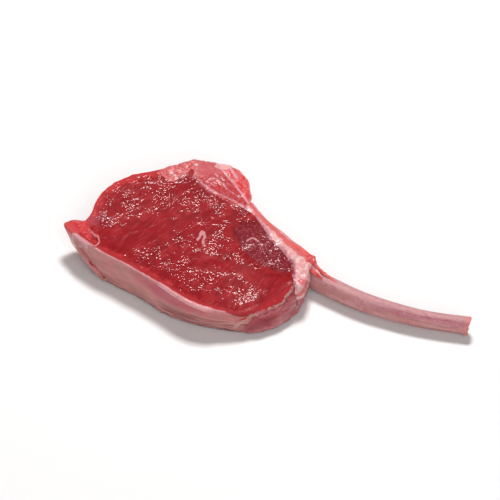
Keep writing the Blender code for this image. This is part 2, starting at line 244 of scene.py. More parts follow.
# %% Soft edges, bands, ovals and lumps
LUMP_GAIN = 1.4  # the noise reaches about 0.7 either way
SEED_STEP = 17.31  # far enough that two sets of lumps don't match


def fade(values, none, full):
    """Return 0 where values reach none and 1 where they reach full, smooth in between."""
    t = np.clip((values - none) / (full - none), 0.0, 1.0)
    return t * t * (3.0 - 2.0 * t)


def band(distance, half_width):
    """Return 1 on a line, falling softly to 0 either side of it."""
    return np.exp(-(distance / half_width) ** 2)


def blob(flat, centre, across, up, turn):
    """Return 1 inside a soft oval and 0 outside it."""
    c, s = math.cos(math.radians(turn)), math.sin(math.radians(turn))
    dx, dy = flat[:, 0] - centre[0], flat[:, 1] - centre[1]
    return fade(np.hypot((dx * c + dy * s) / across, (dy * c - dx * s) / up), 1.2, 0.6)


def lumps(points, size, seed):
    """Return smooth random lumps from about -1 to 1. The size is in mm, or one for each axis."""
    spots = points / np.asarray(size, float) + seed * SEED_STEP
    return np.fromiter(map(noise.noise, map(Vector, spots)), float, len(spots)) * LUMP_GAIN


# %% [markdown]
# The rib bends in one smooth curve, so its centre line is a polynomial fitted to the rib's
# own vertices, in axes turned to run along it. Everything near the rib (its scraped
# surface, the strip of meat beside it) is described by how far along and how far across it
# lies.

# %% The rib's own coordinates
DIAGONAL = math.sqrt(0.5)
BEND_DEGREE = 6
HEIGHT_DEGREE = 2
RIB_STATIONS = 400
rib_points = vertex_array(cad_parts["rib_bone"].data) / MM


def rib_axes(points):
    """Return coordinates along and across the diagonal that the rib follows."""
    along = (points[:, 0] - points[:, 1]) * DIAGONAL
    across = (points[:, 0] + points[:, 1]) * DIAGONAL
    return along, across


rib_along, rib_across = rib_axes(rib_points)
rib_curve = np.polynomial.Polynomial.fit(rib_along, rib_across, BEND_DEGREE)
rib_height = np.polynomial.Polynomial.fit(rib_along, rib_points[:, 2], HEIGHT_DEGREE)
rib_slope = rib_curve.deriv()
rib_table = np.linspace(rib_along.min(), rib_along.max(), RIB_STATIONS)
rib_steps = np.hypot(np.diff(rib_table), np.diff(rib_curve(rib_table)))
rib_lengths = np.concatenate([[0.0], np.cumsum(rib_steps)])
rib_end = rib_lengths[-1]


def rib_place(points):
    """Return each point's place along, across and above the rib's centre line, in mm."""
    forward, sideways = rib_axes(points)
    inside = np.clip(forward, rib_table[0], rib_table[-1])
    slope, aside = rib_slope(inside), sideways - rib_curve(inside)
    steep = np.sqrt(1.0 + slope**2)
    along = np.interp(forward, rib_table, rib_lengths) + aside * slope / steep
    return np.column_stack([along, aside / steep, points[:, 2] - rib_height(inside)])


print("rib length in mm:", round(rib_end, 1))

# %% Which tissue lies under each spot of the skin
def node_tree(nodes):
    """Return a search tree over some CAD nodes, in mm, and the node of each of its faces."""
    points, faces, owners = [], [], []
    for i, node in enumerate(nodes):
        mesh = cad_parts[node].data
        start = len(points)
        points.extend(v.co / MM for v in mesh.vertices)
        faces.extend([start + k for k in p.vertices] for p in mesh.polygons)
        owners.extend([i] * len(mesh.polygons))
    return BVHTree.FromPolygons(points, faces), owners


OWNER_ROUNDS = 5
tissue_tree, tissue_owner = node_tree(MEAT_NODES)
nearest_tissue = [tissue_owner[tissue_tree.find_nearest(Vector(p))[2]] for p in skin_points]
belongs = relaxed(np.eye(len(MEAT_NODES))[nearest_tissue], skin_edges, OWNER_ROUNDS)
share = dict(zip(MEAT_NODES, belongs.T))
print("skin points by tissue:", {n: int((s > 0.5).sum()) for n, s in share.items()})

# %% [markdown]
# ## Relief on the skin
# A fresh cut is never flat. Bundles of muscle fibre stand a tenth or two of a millimetre
# proud of each other, two long folds cross the eye, and threads of connective tissue lie
# on it as fine ridges. The outer side is smoother, with long wrinkles where the membrane
# has shrunk. A shader's displacement would be lost with the mesh. Moving the skin's points
# along their normals keeps all this in the geometry, so it shows at the silhouette and in
# every light.

# %% Where things run on the cut face, in mm (X, Y)
MARBLED_FOLD = [
    (-13.0, 1.0), (-11.0, -4.5), (-7.0, -10.3), (-2.2, -14.4), (4.2, -18.3), (10.5, -20.0),
]
MIDDLE_FOLD = [
    (-33.0, -15.2), (-27.0, -11.9), (-22.2, -11.0), (-17.4, -13.3), (-14.2, -16.4), (-11.0, -18.8),
]
THREADS = [
    [(-60.5, 23.0), (-57.0, 26.4), (-52.0, 28.6), (-47.0, 29.2)],
    [(-63.8, 10.4), (-54.2, 11.3), (-43.0, 18.1), (-31.0, 25.3)],
    [(-41.5, 15.6), (-37.0, 20.4), (-33.0, 24.4)],
    [(-66.0, -1.0), (-57.0, 1.3), (-47.0, 5.7), (-40.0, 11.0)],
    [(-27.0, 18.2), (-26.2, 9.5), (-27.0, 6.3)],
    [(-56.0, -9.5), (-50.0, -5.0), (-44.0, -1.0)],
]
FAT_FLECK = [
    (-27.8, -0.7), (-27.0, 0.6), (-26.5, 2.6), (-25.8, 3.6),
    (-25.2, 2.2), (-25.1, 0.4), (-25.5, -1.4), (-25.3, -3.2),
]
BACK_OUTER = [(-18.6, 37.5), (-15.8, 32.7), (-13.4, 29.2), (-11.0, 24.8), (-8.6, 21.0), (-7.0, 17.9)]
BACK_INNER = [(-28.6, 37.5), (-28.2, 32.3), (-25.8, 28.4), (-20.2, 24.2), (-13.0, 19.5), (-9.0, 16.6)]
BACK_ARC = [(-24.4, 29.4), (-21.8, 31.8), (-17.8, 29.3), (-16.2, 26.3), (-11.0, 21.6)]
LIP = [
    (-47.0, -22.8), (-41.0, -27.7), (-37.0, -31.1), (-33.4, -33.7),
    (-29.0, -36.1), (-24.6, -37.1), (-21.4, -35.0),
]

# %% Where things run on the front wall, in mm (X, Z)
CREASE = [(-74.0, 13.0), (-71.4, 9.6), (-68.6, 7.2), (-65.4, 3.6)]
MEMBRANE_EDGE = [
    (-14.0, 4.2), (-9.0, 8.4), (-5.0, 10.4), (1.8, 11.4), (5.4, 11.9), (8.2, 13.5), (10.4, 16.0),
]

# %% [markdown]
# The film of water on the cut face is what sparkles. It does so in clusters, where the
# bundles stand up, and hardly at all on the areas that the knife left smooth. Each of
# those is an oval: its centre, half its length and width, and its turn in degrees.

# %% Where the cut face is rough and where it is calm
CALM_OVALS = [
    ((-51.0, 2.0), 25.0, 8.0, 27.0), ((-66.0, -7.0), 11.0, 6.0, -35.0),
    ((-7.0, 4.5), 6.0, 3.0, -30.0), ((-5.0, -10.0), 4.0, 4.0, 0.0),
    ((-10.0, -16.0), 20.0, 2.4, -24.0), ((6.0, -22.0), 8.0, 6.0, 0.0),
    ((-26.2, 0.6), 3.4, 4.6, 0.0),
]
HALF_CALM_OVALS = [((-22.0, 1.5), 10.0, 6.0, 0.0), ((-13.0, -19.0), 13.0, 6.0, -24.0)]


def in_ovals(plan, ovals):
    """Return 1 inside any of some soft ovals and 0 outside them all."""
    return np.max([blob(plan, *oval) for oval in ovals], axis=0)


def wet_patches(points):
    """Return how rough the wet cut face is at each spot, from 0 to 1, in uneven clusters."""
    plan = points[:, :2]
    clusters = 0.58 + 0.78 * lumps(points, 3.0, 40) + 0.50 * lumps(points, 8.0, 41)
    calm = 0.85 * in_ovals(plan, CALM_OVALS) + 0.40 * in_ovals(plan, HALF_CALM_OVALS)
    return np.clip(clusters - calm, 0.0, 1.0)


# %% Distance to the rim of the cut face
on_rim = (skin_normals[:, 2] > 0.40) & (skin_normals[:, 2] < 0.72) & (skin_points[:, 2] > FACE_FLOOR)
rim_spots = skin_points[on_rim]
rim_tree = kdtree.KDTree(len(rim_spots))
for i, spot in enumerate(rim_spots):
    rim_tree.insert(spot, i)
rim_tree.balance()


def rim_gap(points):
    """Return how far each point is from the rim of the cut face, in mm."""
    return np.array([rim_tree.find(p)[2] for p in points])


print("rim spots:", len(rim_spots))

# %% Smooth the small tissues and take the skin's bearings
SMALL_ROUNDS = 50
small = share["fat_knuckle"] + share["chine_trim"] + share["tip_flap"] + 0.7 * share["cap_muscle"]
skin_points = relaxed(skin_points, skin_edges, SMALL_ROUNDS, 1.0 - np.clip(small, 0.0, 1.0))
skin_normals = move_points(skin, skin_points)
plan = skin_points[:, :2]
wall = skin_points[:, [0, 2]]
x, y, z = skin_points.T
gap = rim_gap(skin_points)
top = fade(skin_normals[:, 2], 0.35, 0.80)
side = fade(np.abs(skin_normals[:, 2]), 0.80, 0.35)
front = side * fade(skin_normals[:, 1], 0.0, -0.35)
eye_face = share["loin_eye"] * top
relief = np.zeros(len(skin_points))


def swell(depth, size, seed):
    """Return random lumps on the skin, of a depth and a size in mm."""
    return depth * lumps(skin_points, size, seed)


print("cut face of the eye:", int((eye_face > 0.5).sum()), "points")

# %% [markdown]
# The eye was cut in one stroke, so most of what the smoothing left of its hills is first
# drawn to a plane fitted through its middle. Then come the bundles, where the face is wet
# and rough, and a slow swell over all of it.

# %% Level the eye and raise its bundles
LEVELLING = 0.6
inside = eye_face * fade(gap, 0.0, 10.0)
ground = np.column_stack([x, y, np.ones(len(x))])
level = ground @ np.linalg.lstsq(ground[inside > 0.9], z[inside > 0.9], rcond=None)[0]
relief += LEVELLING * inside * (level - z)
print("levelled by mm:", np.round(np.percentile(relief[inside > 0.9], [1, 99]), 2))
bundles = swell(0.15, 2.8, 1) + swell(0.05, 1.3, 2)
wetness = wet_patches(skin_points) * (1.0 - band(gap, 3.0) * fade(y, -14.0, -22.0))
relief += eye_face * (bundles * wetness + swell(0.18, 15.0, 3))
relief += share["loin_eye"] * side * (swell(0.95, 4.2, 4) + swell(0.12, (6.0, 6.0, 1.4), 5))

# %% Folds and threads on the eye
fold, place = beside_line(plan, MARBLED_FOLD)
ends = fade(place, 0.0, 0.2)
relief += eye_face * ends * (0.28 * band(fold + 3.6, 3.2) - 0.20 * band(fold - 0.2, 2.0))
fold, place = beside_line(plan, MIDDLE_FOLD)
ends = fade(place, 0.0, 0.25) * fade(place, 1.0, 0.75)
relief += eye_face * ends * (0.24 * band(fold + 2.6, 2.8) - 0.16 * band(fold - 0.3, 1.3))
for thread in THREADS:
    offset, _ = beside_line(plan, thread)
    relief += eye_face * 0.04 * band(offset, 0.5)
offset, place = beside_line(plan, FAT_FLECK)
relief += eye_face * 0.18 * band(offset, 0.5) * fade(place, 0.0, 0.3)
print("eye's relief in mm:", round(relief.min(), 2), "to", round(relief.max(), 2))

# %% [markdown]
# The outer side has long wrinkles, an uneven foot where the chop lies on the board, a deep
# crease at the left, a lip of fat that curls over the rim, and the ragged edge where the
# membrane was pulled off the muscle at the right.

# %% Wrinkles, crease, lip and membrane on the outer side
outer = share["fat_cover"] * side
relief += outer * swell(0.22, (15.0, 15.0, 1.7), 6) * (1.1 - 0.9 * fade(z, 5.0, 13.0))
relief += outer * swell(0.40, (9.0, 9.0, 6.0), 7)
relief += side * fade(z, 4.0, 1.5) * fade(z, 0.4, 1.5) * swell(0.55, 3.4, 8)
offset, _ = beside_line(wall, CREASE)
relief += front * (0.55 * band(offset + 1.8, 1.3) - 0.85 * band(offset, 0.65))
offset, place = beside_line(plan, LIP)
lip_size = fade(place, 0.0, 0.5) * fade(place, 1.0, 0.94) * (1.0 + swell(0.35, 3.0, 9))
under_lip = band(z - 12.6, 1.0) * front
relief += lip_size * (0.80 * band(gap, 0.9) * band(offset, 2.0) - 0.35 * under_lip * band(offset, 3.0))
offset, _ = beside_line(wall, MEMBRANE_EDGE)
ragged = offset + swell(0.9, 2.4, 10)
pulled = front * fade(x, -16.0, -10.0)
relief += pulled * (0.95 * band(ragged - 0.5, 1.0) - 0.50 * band(ragged + 1.3, 0.8))
bulge = 0.9 * blob(wall, (1.0, 6.5), 12.0, 5.5, 24.0) + swell(0.6, 4.4, 11)
relief += share["cap_muscle"] * side * (bulge + swell(0.16, (5.0, 5.0, 1.3), 12))
print("relief in mm:", round(relief.min(), 2), "to", round(relief.max(), 2))

# %% [markdown]
# Fat is lumpy, and the knuckle of fat at the right more than the rest, with a ditch round
# it. The strip beside the rib is torn into long strands, and the small muscles are spongy.
# Films of connective tissue show as ridges between them.

# %% Relief of the fat, the strip and the small muscles
fat = share["seam_fat"] + share["fat_knuckle"] + share["top_fat"]
relief += fat * (swell(0.34, 3.2, 13) + swell(0.12, 1.4, 14))
relief += share["fat_knuckle"] * (swell(0.85, 3.4, 15) + swell(0.35, 1.8, 21) + 0.3)
relief += share["seam_fat"] * top * 0.25
beside_knuckle = share["loin_eye"] + share["cap_muscle"] + share["fat_cover"]
relief -= 3.2 * share["fat_knuckle"] * beside_knuckle * fade(z, 8.0, 12.0)
relief += share["rib_meat"] * 0.42 * lumps(rib_place(skin_points), (12.0, 1.1, 1.1), 16)
spongy = swell(0.05, 1.5, 17) + swell(0.12, 3.5, 18)
relief += (share["back_muscle"] + 2.0 * share["tip_flap"]) * spongy
relief += share["chine_trim"] * (swell(0.55, 3.6, 19) + swell(0.20, 1.5, 20))
for line in (BACK_OUTER, BACK_INNER, BACK_ARC):
    offset, place = beside_line(plan, line)
    relief += top * (1.0 - share["rib_meat"]) * 0.12 * band(offset, 0.6) * fade(place, 1.0, 0.9)
print("relief in mm:", round(relief.min(), 2), "to", round(relief.max(), 2))

# %% Fill out the far edge and the tip, then move the skin
relief += 1.1 * side * fade(y, 27.0, 34.0) * fade(x, -34.0, -26.0)
relief += 1.5 * side * fade(x, -70.0, -77.0) * band(z - 8.0, 7.0)
relief *= fade(z, 0.25, 0.9)  # nothing moves where the chop rests
skin_points = skin_points + skin_normals * relief[:, None]
skin_normals = move_points(skin, skin_points)
skin_faces = [tuple(p.vertices) for p in skin.polygons]
skin_tree = BVHTree.FromPolygons([Vector(p) for p in skin_points], skin_faces)
print("relief in mm:", round(relief.min(), 2), "to", round(relief.max(), 2))

# %% [markdown]
# ## A double for each tissue
# Each CAD solid is swollen by about half the gap to its neighbours, made into small even
# quads, and the part of it that faces outward is laid onto the skin. What faces a
# neighbour stays where the CAD has it, so every double is still one closed solid. Fat is
# soft and smears under the knife: its solids swell a little more in patches, so their
# edges run unevenly over the meat. The right side of the knuckle of fat is drawn in a
# little.

# %% Make the doubles
LAY_REACH = 2.1
FACING = 0.25
EYE_VOXEL = 0.42
FINE_VOXEL = 0.36
SMEARED = {"fat_knuckle": 1.0, "seam_fat": 0.45, "top_fat": 0.8}
SMEAR_LIFT = 0.06
KNUCKLE_DRAWN_IN = 1.9
MEAT_SHARP = 65.0


def add_piece(name, mesh, sharp_degrees=None):
    """Put a mesh made in mm into the scene as a smoothly shaded piece in metres."""
    mesh.transform(Matrix.Scale(MM, 4))
    mesh.shade_smooth()
    if sharp_degrees:
        mesh.set_sharp_from_angle(angle=math.radians(sharp_degrees))
    piece = bpy.data.objects.new(name, mesh)
    scene.collection.objects.link(piece)
    return piece


def tissue_double(node, voxel_mm):
    """Return a fine double of a CAD node, with its points in mm and their normals."""
    mesh = voxel_mesh(grown_solid(node, SEAM_CLOSING), voxel_mm)
    points, normals = vertex_array(mesh), vertex_array(mesh, "normal")
    patches = (0.5 + 0.8 * lumps(points, 2.6, 30)).clip(0.0, 1.0)
    points += normals * SMEARED.get(node, 0.0) * patches[:, None]
    lift = SMEAR_LIFT if node in SMEARED else 0.0
    for i, (point, normal) in enumerate(zip(points, normals)):
        spot, facing, _, gap = skin_tree.find_nearest(Vector(point))
        if gap < LAY_REACH and facing.dot(Vector(normal)) > FACING:
            points[i] = spot + lift * facing
    if node == "fat_knuckle":
        points[:, 0] -= KNUCKLE_DRAWN_IN * fade(points[:, 0], 14.0, 19.0)
    points[:, 2] = np.maximum(points[:, 2], 0.0)
    normals = move_points(mesh, points)
    return add_piece(f"{node}_fine", mesh, MEAT_SHARP), points, normals


doubles = {}
for node in MEAT_NODES:
    doubles[node] = tissue_double(node, EYE_VOXEL if node == "loin_eye" else FINE_VOXEL)
    print(node, len(doubles[node][1]), "points")

# %% [markdown]
# ## The rib
# The rib was scraped with a knife, so it is not polished: shallow facets and fine scratches
# run along it, and a groove for the blood vessels follows it towards the free end. Both
# ends are sawn, so their edges stay crisp while the rest is smoothed, and crumbs of bone
# and meat hang under the free one.

# %% Make the rib's double
RIB_ROUNDS = 12
BONE_SHARP = 50.0
GROOVE_ACROSS = -2.2
GROOVE_ABOVE = 2.8
rib_mesh = voxel_mesh(grown_solid("rib_bone", 0.0), FINE_VOXEL)
rib_shape = vertex_array(rib_mesh)
along = rib_place(rib_shape)[:, 0]
sawn = np.maximum(fade(along, 1.6, 0.4), fade(along, rib_end - 1.6, rib_end - 0.4))
rib_shape = relaxed(rib_shape, edge_array(rib_mesh), RIB_ROUNDS, sawn)
rib_normals = move_points(rib_mesh, rib_shape)
on_rib = rib_place(rib_shape)
along, across, above = on_rib.T
scratches = 0.07 * lumps(on_rib, (9.0, 0.8, 0.8), 31)
facets = 0.20 * lumps(on_rib, (16.0, 2.8, 2.8), 32)
groove = band(across - GROOVE_ACROSS, 0.9) * band(above - GROOVE_ABOVE, 1.1)
groove *= 0.30 * fade(along, 84.0, 104.0)
under_end = fade(along, rib_end - 6.0, rib_end - 1.5) * fade(above, -1.5, -3.5)
crumbs = 0.25 * sawn * lumps(rib_shape, 1.3, 33)
crumbs += 1.3 * under_end * np.abs(lumps(rib_shape, 1.8, 34))
rib_shape = rib_shape + rib_normals * (scratches + facets - groove + crumbs)[:, None]
rib_normals = move_points(rib_mesh, rib_shape)
doubles["rib_bone"] = (add_piece("rib_bone_fine", rib_mesh, BONE_SHARP), rib_shape, rib_normals)
print("rib points:", len(rib_shape))

# %% [markdown]
# ## Loose ends
# A butcher's knife leaves bits behind: a thread of fat lying on the tail of the eye, a
# nub of meat where the strip beside the rib was cut, and torn strands tapering off along
# the bone. Each is a short rope whose thickness changes along its length. A curve with a
# bevel would make the rope too, but its rings could not be uneven.

# %% A rope that swells and tapers
ROPE_SIDES = 14
ROPE_SPACING = 0.3


def rope(name, marks, radii, lumpiness):
    """Make a closed rope along a curve in mm, with a radius for each of its marks."""
    line = smooth_line(marks, ROPE_SPACING)
    places = np.linspace(0.0, 1.0, len(line))
    thick = np.interp(places, np.linspace(0.0, 1.0, len(radii)), radii)
    blunt_tips = np.sqrt(np.clip(1.0 - (2.0 * places - 1.0) ** 12, 0.02, 1.0))
    thick = thick * blunt_tips
    bm = bmesh.new()
    rings = []
    for i, centre in enumerate(line):
        ahead = Vector(line[min(i + 1, len(line) - 1)] - line[max(i - 1, 0)]).normalized()
        sideways = ahead.cross(Vector((0.0, 0.0, 1.0))).normalized()
        upwards = sideways.cross(ahead)
        ring = []
        for k in range(ROPE_SIDES):
            turn = 2.0 * math.pi * k / ROPE_SIDES
            out = sideways * math.cos(turn) + upwards * math.sin(turn)
            uneven = 1.0 + lumpiness * 2.0 * noise.noise(Vector(centre) * 0.9 + out)
            ring.append(bm.verts.new(Vector(centre) + out * thick[i] * uneven))
        rings.append(ring)
    for low, high in zip(rings[:-1], rings[1:]):
        for k in range(ROPE_SIDES):
            after = (k + 1) % ROPE_SIDES
            bm.faces.new((low[k], low[after], high[after], high[k]))
    bm.faces.new(rings[0][::-1])
    bm.faces.new(rings[-1])
    bmesh.ops.recalc_face_normals(bm, faces=bm.faces)
    mesh = mesh_from(bm, name)
    points, normals = vertex_array(mesh), vertex_array(mesh, "normal")
    return add_piece(name, mesh), points, normals


# %% Lay the loose ends: marks in mm, radii in mm, lumpiness
LOOSE_ENDS = {
    "fat_strand": ([
        (-71.6, 3.7, 16.2), (-70.2, 2.1, 16.4), (-69.2, 0.4, 16.7), (-68.0, -0.9, 17.1),
        (-67.3, -2.6, 17.4), (-67.2, -4.4, 17.4), (-68.2, -5.9, 17.4), (-69.9, -6.1, 17.2),
    ], [0.60, 0.85, 0.60, 1.00, 0.55, 0.45, 0.45, 0.30], 0.12),
    "meat_nub": ([
        (14.8, -10.2, 14.2), (16.4, -10.9, 15.0), (17.8, -11.6, 15.2), (18.6, -13.2, 14.4),
    ], [1.1, 1.7, 1.6, 1.0], 0.40),
    "torn_strand_red": ([
        (16.0, -13.2, 13.4), (18.0, -14.6, 12.2), (20.0, -16.3, 11.4), (22.0, -18.2, 10.9),
    ], [1.2, 1.0, 0.7, 0.2], 0.20),
    "torn_strand_pale": ([
        (16.8, -12.2, 13.8), (18.6, -13.9, 12.7), (20.4, -15.7, 11.9), (22.2, -17.4, 11.2),
    ], [0.9, 0.7, 0.5, 0.15], 0.20),
    "torn_strand_long": ([
        (17.8, -12.0, 13.6), (20.6, -14.2, 12.3), (24.0, -16.8, 11.3), (28.2, -20.2, 10.7),
    ], [1.0, 0.8, 0.6, 0.2], 0.20),
}
for name, (marks, radii, lumpiness) in LOOSE_ENDS.items():
    doubles[name] = rope(name, marks, radii, lumpiness)
print("loose ends:", list(LOOSE_ENDS))

# %% [markdown]
# ## Masks for the colours
# Every double carries soft masks, one number for each point, that say where a finish
# changes: close to a seam, on a thread, below the rim. The shaders read them by name, break
# their edges up with noise and lay a colour there. Image maps would need an unwrap of every
# piece, and masks ride on the mesh as it is.

# %% Distances to tissues, balls and lines
def tissue_gap(points, nodes):
    """Return how far each point is from the nearest of some CAD nodes, in mm."""
    tree, _ = node_tree(nodes)
    return np.array([tree.find_nearest(Vector(p))[3] for p in points])


def in_balls(points, balls):
    """Return 1 inside soft balls given as (x, y, z, radius) and 0 outside them."""
    reach = [np.linalg.norm(points - ball[:3], axis=1) / ball[3] for ball in np.array(balls)]
    return fade(np.min(reach, axis=0), 1.1, 0.55)


def on_lines(flat, lines):
    """Return 1 on any of some lines, given with their half widths, and 0 away from them."""
    return np.max([band(beside_line(flat, line)[0], width) for line, width in lines], axis=0)


Site = namedtuple("Site", "points plan wall face front gap rib up")


def site(points, normals):
    """Return all that the masks are worked out from: where points lie and which way they face."""
    up = normals[:, 2]
    face = fade(up, 0.30, 0.80)
    front = (1.0 - face) * fade(normals[:, 1], 0.1, -0.25)
    plan, wall = points[:, :2], points[:, [0, 2]]
    return Site(points, plan, wall, face, front, rim_gap(points), rib_place(points), up)


# %% Masks on the cut face of the eye
FLECKS = [
    (FAT_FLECK, 0.85),
    ([(-8.2, -1.6), (-7.0, -0.3), (-5.4, 0.0), (-3.4, -1.6), (-2.2, -3.6)], 0.55),
    ([(-7.2, -3.9), (-5.6, -3.4), (-4.6, -4.6)], 0.40),
    ([(0.6, -11.6), (1.0, -12.9), (2.2, -13.7), (3.3, -13.0), (3.4, -11.6)], 0.40),
]
FILM_BALLS = [(-69.4, 8.6, 16.5, 3.4), (-66.2, 11.4, 16.8, 3.0), (-62.0, 9.4, 16.8, 2.4)]
PALE_NEIGHBOURS = ["seam_fat", "top_fat", "fat_knuckle", "back_muscle"]


def eye_masks(at):
    """Return the masks of the eye's cut face and of the rim round it."""
    x, y, z = at.points.T
    fold, _ = beside_line(at.plan, MARBLED_FOLD)
    marbled = fade(fold, -1.2, 1.6) * blob(at.plan, (-1.0, -5.0), 19.0, 12.5, -48.0)
    rolled = fade(at.gap, 5.5, 3.0) * fade(y, -18.0, -26.0) * fade(x, -30.0, -18.0)
    wetter = 1.0 + 0.4 * blob(at.plan, (-42.0, -20.0), 17.0, 8.0, -32.0)
    sparkle = wet_patches(at.points) * (1.0 - rolled) * (1.0 - 0.3 * marbled) * wetter
    sparkle *= fade(at.gap, 0.6, 2.2)
    # Painted shade: the ditch beside the knuckle of fat is painted very dark red
    knuckle_gap = band(tissue_gap(at.points, ["fat_knuckle"]), 1.1)
    return {
        "marbled": marbled,
        "rolled": rolled,
        "sparkle": sparkle,
        "calm": np.clip(1.0 - sparkle, 0.0, 1.0),
        # Near the rim: the brighter red there, and the painted highlight specks
        "near_rim": band(at.gap, 4.5) * (1.0 - 0.6 * rolled),
        "film": in_balls(at.points, FILM_BALLS),
        "seam": band(tissue_gap(at.points, PALE_NEIGHBOURS), 1.0),
        "knuckle_gap": knuckle_gap * fade(y, -16.0, -22.0) * fade(z, 9.0, 12.0),
        "thread": on_lines(at.plan, [(line, 0.32) for line in THREADS]),
        "fleck": on_lines(at.plan, FLECKS),
    }


# %% Masks on the outer side
LEAN_EDGE = [
    (-24.0, 17.6), (-20.0, 15.4), (-15.8, 13.0), (-11.0, 10.8), (-7.0, 10.2), (-2.2, 10.9), (4.0, 12.6),
]
FLAP_RIM = [(-80.2, 5.0), (-79.0, 3.9), (-76.6, 0.7), (-74.2, -2.2), (-71.8, -4.7)]


def outer_masks(at):
    """Return the masks of the silverskin and the cap muscle: rim, creases, membrane, and the painted
    shade at the foot.
    """
    x, y, z = at.points.T
    crease, _ = beside_line(at.wall, CREASE)
    lean_edge, _ = beside_line(at.wall, LEAN_EDGE)
    membrane, _ = beside_line(at.wall, MEMBRANE_EDGE)
    lip, place = beside_line(at.plan, LIP)
    purple = np.hypot((x + 38.0) / 17.0, (z - 14.5) / 6.0)
    dark = np.hypot((x + 3.0) / 8.0, (z - 5.6 - 0.3 * (x + 3.0)) / 3.0)
    return {
        "face": at.face,
        "rim_line": band(at.gap, 0.75),
        "within": at.face * fade(at.gap - 0.5 * fade(x, -64.0, -72.0), 0.4, 1.0),
        "lip": band(lip, 2.4) * band(at.gap, 1.3) * fade(place, 0.0, 0.3),
        "flap_rim": on_lines(at.plan, [(FLAP_RIM, 0.8)]) * fade(z, 11.0, 13.5),
        "tip_top": fade(y, -0.5, 4.0) * fade(x, -71.0, -76.0) * fade(z, 9.5, 12.5),
        "crease": band(crease, 0.9) * at.front,
        "fold": band(crease - 2.6, 2.0) * at.front,
        "purple": band(purple, 0.9) * at.front,
        "fibrous": blob(at.wall, (-24.0, 4.5), 26.0, 6.0, -5.0) * at.front,
        "below_rim": fade(lean_edge, -0.7, 0.7) * fade(x, -25.0, -22.0) * fade(z, 8.0, 9.0),
        "membrane": band(membrane - 0.4, 1.3) * fade(x, -16.0, -11.0) * at.front,
        "over_membrane": fade(membrane, 0.2, 0.8) * fade(x, -14.0, -9.0),
        # Painted shade: a dark band in the groove just below the membrane's ridge
        "under_membrane": band(membrane + 1.4, 0.9) * fade(x, -14.0, -9.0) * at.front,
        "dark_patch": band(dark, 0.9),
        # Painted shade: the lowest few millimetres of the wall darker
        "foot": fade(z, 3.4, 0.8),
    }


# %% Masks on the fat and the small muscles
PALE_BALLS = [
    (-38.6, 34.0, 16.0, 1.4), (-37.2, 32.9, 16.0, 1.5), (-36.4, 31.3, 16.0, 1.1),
    (-35.3, 34.2, 16.0, 1.1), (-33.4, 35.6, 16.0, 0.9), (-28.3, 38.4, 16.0, 1.5),
    (-28.2, 36.0, 16.0, 1.5), (-19.2, 38.4, 15.5, 2.6), (-16.0, 37.8, 15.5, 2.2),
    (-13.8, 34.6, 15.0, 1.3), (-12.4, 32.2, 14.5, 1.0), (-20.8, 33.6, 16.0, 0.8),
    (-20.0, 32.8, 16.0, 0.8), (-18.2, 31.6, 16.0, 0.7), (-17.4, 30.8, 16.0, 0.7),
]
RED_BALLS = [
    (14.2, -24.0, 16.0, 1.9), (13.2, -23.6, 16.1, 1.4), (15.8, -22.5, 13.7, 1.6),
    (15.4, -24.3, 13.4, 1.8), (14.6, -25.4, 12.4, 1.7), (13.4, -26.5, 11.8, 1.5),
    (12.4, -26.8, 11.2, 1.1), (13.7, -16.5, 16.3, 0.6),
]
WEDGE = [(-32.6, 28.5), (-31.8, 31.0), (-30.8, 33.5), (-30.4, 35.0)]
CHINE_THREAD = [(-15.4, 38.5), (-13.8, 35.2), (-12.2, 31.7)]
FRAME_LINES = [(BACK_OUTER, 0.50), (BACK_INNER, 0.85), (BACK_ARC, 0.45), (CHINE_THREAD, 0.70)]


def inner_masks(at):
    """Return the masks of the fat and of the small muscles round the rib."""
    x, y, z = at.points.T
    wedge, place = beside_line(at.plan, WEDGE)
    beside_strip = band(tissue_gap(at.points, ["rib_meat"]), 2.0)
    return {
        "eye_side": band(tissue_gap(at.points, ["loin_eye"]), 1.5),
        "strip_side": beside_strip * fade(at.rib[:, 0], 66.0, 58.0),
        "red": in_balls(at.points, RED_BALLS),
        "pale": in_balls(at.points, PALE_BALLS),
        "wedge": band(wedge, 5.6 - 4.6 * place) * fade(z, 12.0, 14.0),
        "frame": on_lines(at.plan, FRAME_LINES),
        "back_top": fade(y, 27.0, 36.0),
        "back_wall": fade(at.up, 0.60, 0.25) * fade(z, 14.5, 8.0),
        # Painted shade: low down, the fat is painted the dark red-purple of the cap muscle in shade
        "low": fade(z, 10.5, 7.0),
    }


# %% Masks on the rib and the strip beside it
def rib_masks(at):
    """Return the masks of the scraped bone and of the strip of meat beside it."""
    along, across, above = at.rib.T
    groove = band(across - GROOVE_ACROSS, 1.1) * band(above - GROOVE_ABOVE, 1.6)
    return {
        # Height on the rib, 0 below to 1 on top: it places the painted highlight on top and the painted
        # shade underneath
        "above": 0.5 + above / 10.0,
        "groove": groove * fade(along, 80.0, 104.0),
        "sawn": fade(along, rib_end - 5.0, rib_end - 0.5),
        "sawn_face": fade(along, rib_end - 1.4, rib_end - 0.4),
        "pale_line": band(across - 3.9, 0.9) * fade(at.up, 0.25, 0.60),
    }


def colour_masks(points, normals):
    """Return every mask that the finishes read, by name."""
    at = site(points, normals)
    return eye_masks(at) | outer_masks(at) | inner_masks(at) | rib_masks(at)


# %% [markdown]
# ## Finishes
# All the tissues are wet and let light in a little way, so one recipe serves them all:
# a ground colour, thin layers over it that each follow a mask or a noise, a little
# subsurface light, a smooth film of water on top and a fine bump. What differs is the
# table of layers. Sizes are in millimetres, as each double carries its own grain
# coordinates in millimetres. Tissue is mostly water, so its index is close to water's,
# and the film, thick with juices and fat, has a little more. The film does the shining,
# so the tissue's own shine is turned low.

# %% Colour and node helpers
def hex_colour(code):
    """Return the linear colour of an sRGB hex code."""
    channels = [int(code[i : i + 2], 16) / 255.0 for i in (1, 3, 5)]
    return (*[c / 12.92 if c <= 0.04045 else ((c + 0.055) / 1.055) ** 2.4 for c in channels], 1.0)


